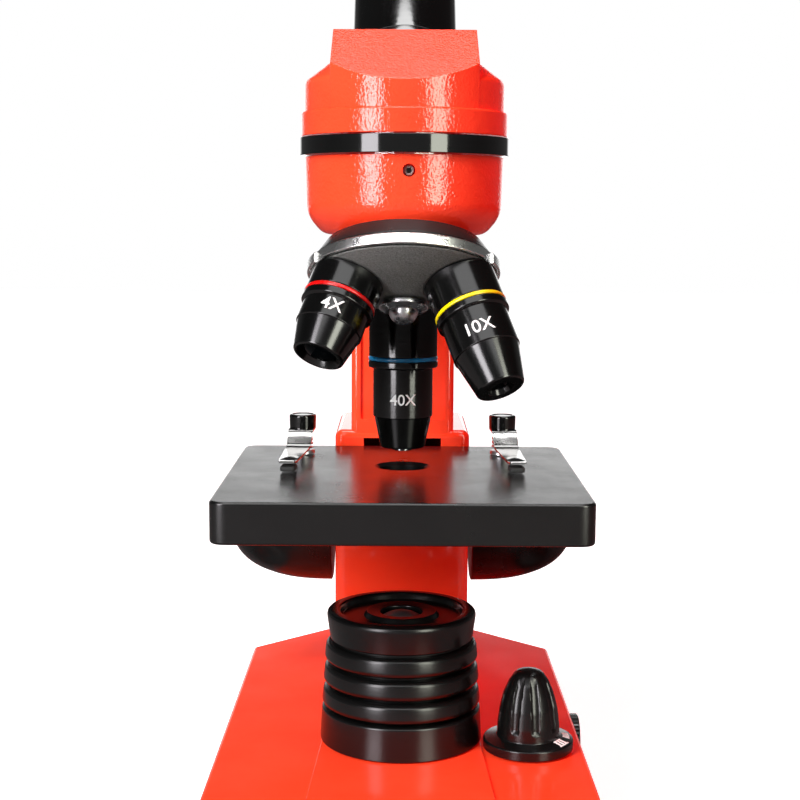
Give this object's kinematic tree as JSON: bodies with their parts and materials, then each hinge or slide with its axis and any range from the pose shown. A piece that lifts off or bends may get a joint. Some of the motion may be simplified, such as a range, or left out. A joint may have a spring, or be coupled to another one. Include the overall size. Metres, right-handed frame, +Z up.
{
  "type": "compound microscope",
  "caption": "Student compound microscope with turning head, tilted nosepiece with swing-in objectives, geared focus stage with clips and base lamp.",
  "frame": {"origin": "on the table, under the centre of the overall bounding box", "axes": "+Z up, -Y towards the specimen side, +X to the right seen from that side"},
  "size_m": [0.1048, 0.176, 0.2748],
  "materials": {
    "orange_paint": "glossy wrinkle paint",
    "black_paint": "semi-gloss black",
    "black_plastic": "satin black",
    "stage_black": "satin black",
    "rubber": "matt black",
    "chrome": "polished",
    "steel": "bright",
    "aluminium": "knurled, satin",
    "brass": "machined",
    "optical_glass": "coated, clear",
    "band_red": "semi-gloss red",
    "band_yellow": "semi-gloss yellow",
    "band_blue": "semi-gloss blue",
    "board_green": "solder mask",
    "led_white": "translucent"
  },
  "bodies": {
    "stand": {"base_shell": "orange_paint", "base_plate": "black_plastic", "battery_door": "black_plastic", "rubber_foot_1": "rubber", "rubber_foot_2": "rubber", "rubber_foot_3": "rubber", "rubber_foot_4": "rubber", "power_socket": "black_plastic", "arm": "orange_paint", "arm_rear_cover": "black_plastic", "focus_bush_left": "brass", "focus_bush_right": "brass", "lamp_housing": "black_plastic", "lamp_lens": "optical_glass", "lamp_led": "led_white", "lamp_board": "board_green", "nosepiece_mount": "black_paint", "turret_screw": "chrome", "head_ring": "black_paint", "head_lock_screw": "steel"},
    "head": {"head_housing": "orange_paint", "head_flange": "aluminium", "prism": "optical_glass", "eyepiece_tube": "black_paint"},
    "eyepiece": {"eyepiece_barrel": "black_paint", "eye_lens": "optical_glass", "field_lens": "optical_glass", "eyecup": "rubber"},
    "turret": {"turret_ring": "aluminium", "turret_dome": "black_paint", "objective_4x_barrel": "black_paint", "objective_4x_band": "band_red", "objective_4x_lens": "optical_glass", "objective_10x_barrel": "black_paint", "objective_10x_band": "band_yellow", "objective_10x_lens": "optical_glass", "objective_40x_barrel": "black_paint", "objective_40x_band": "band_blue", "objective_40x_lens": "optical_glass"},
    "stage": {"stage_plate": "stage_black", "stage_carriage": "black_paint", "focus_rack": "brass", "diaphragm_screw": "steel"},
    "diaphragm": {"diaphragm_disc": "black_paint"},
    "focus_drive": {"focus_shaft": "steel", "focus_pinion": "brass", "focus_knob_left": "black_plastic", "focus_knob_right": "black_plastic"},
    "light_selector": {"light_selector_knob": "black_plastic"},
    "brightness_dial": {"brightness_knob": "black_plastic"},
    "clip_left_swivel": {"clip_left_post": "steel", "clip_left_spring": "steel"},
    "clip_left_arm": {"clip_left_lever": "chrome", "clip_left_cap": "black_plastic", "clip_left_pad": "rubber"},
    "clip_right_swivel": {"clip_right_post": "steel", "clip_right_spring": "steel"},
    "clip_right_arm": {"clip_right_lever": "chrome", "clip_right_cap": "black_plastic", "clip_right_pad": "rubber"}
  },
  "joints": [
    {"name": "head_turn", "type": "hinge", "parent": "stand", "child": "head", "pos_m": [0, -0.022, 0.19], "axis": [0, 0, 1], "continuous": true},
    {"name": "eyepiece_pull", "type": "slide", "parent": "head", "child": "eyepiece", "axis": [0, 0.7071, 0.7071], "range_m": [0, 0.035]},
    {"name": "turret_turn", "type": "hinge", "parent": "stand", "child": "turret", "pos_m": [0, -0.022, 0.1923], "axis": [0, -0.3584, -0.9336], "continuous": true},
    {"name": "stage_lift", "type": "slide", "parent": "stand", "child": "stage", "axis": [0, 0, 1], "range_m": [-0.011, 0.004]},
    {"name": "focus_turn", "type": "hinge", "parent": "stand", "child": "focus_drive", "pos_m": [0, 0.035, 0.079], "axis": [1, 0, 0], "range_deg": [-40, 107]},
    {"name": "diaphragm_turn", "type": "hinge", "parent": "stage", "child": "diaphragm", "pos_m": [-0.017, -0.026, 0.0944], "axis": [0, 0, 1], "continuous": true},
    {"name": "light_selector_turn", "type": "hinge", "parent": "stand", "child": "light_selector", "pos_m": [0.0343, -0.029, 0.04], "axis": [0, 0, 1], "range_deg": [-45, 90]},
    {"name": "brightness_turn", "type": "hinge", "parent": "stand", "child": "brightness_dial", "pos_m": [0.05, 0.008, 0.019], "axis": [1, 0, 0], "range_deg": [0, 270]},
    {"name": "clip_left_swing", "type": "hinge", "parent": "stage", "child": "clip_left_swivel", "pos_m": [-0.028, -0.002, 0.1112], "axis": [0, 0, 1], "range_deg": [-60, 25]},
    {"name": "clip_left_lift", "type": "hinge", "parent": "clip_left_swivel", "child": "clip_left_arm", "pos_m": [-0.028, -0.002, 0.11245], "axis": [-0.9981, 0.061, 0], "range_deg": [0, 8], "stiffness_Nm_per_rad": 0.3, "springref_deg": -5.73, "deforming": ["clip_left_spring"]},
    {"name": "clip_right_swing", "type": "hinge", "parent": "stage", "child": "clip_right_swivel", "pos_m": [0.028, -0.002, 0.1112], "axis": [0, 0, 1], "range_deg": [-25, 60]},
    {"name": "clip_right_lift", "type": "hinge", "parent": "clip_right_swivel", "child": "clip_right_arm", "pos_m": [0.028, -0.002, 0.11245], "axis": [-0.9981, -0.061, 0], "range_deg": [0, 8], "stiffness_Nm_per_rad": 0.3, "springref_deg": -5.73, "deforming": ["clip_right_spring"]}
  ],
  "couplings": [
    {"joint": "focus_turn", "follows": "stage_lift", "rad_per_m": -166.67}
  ]
}
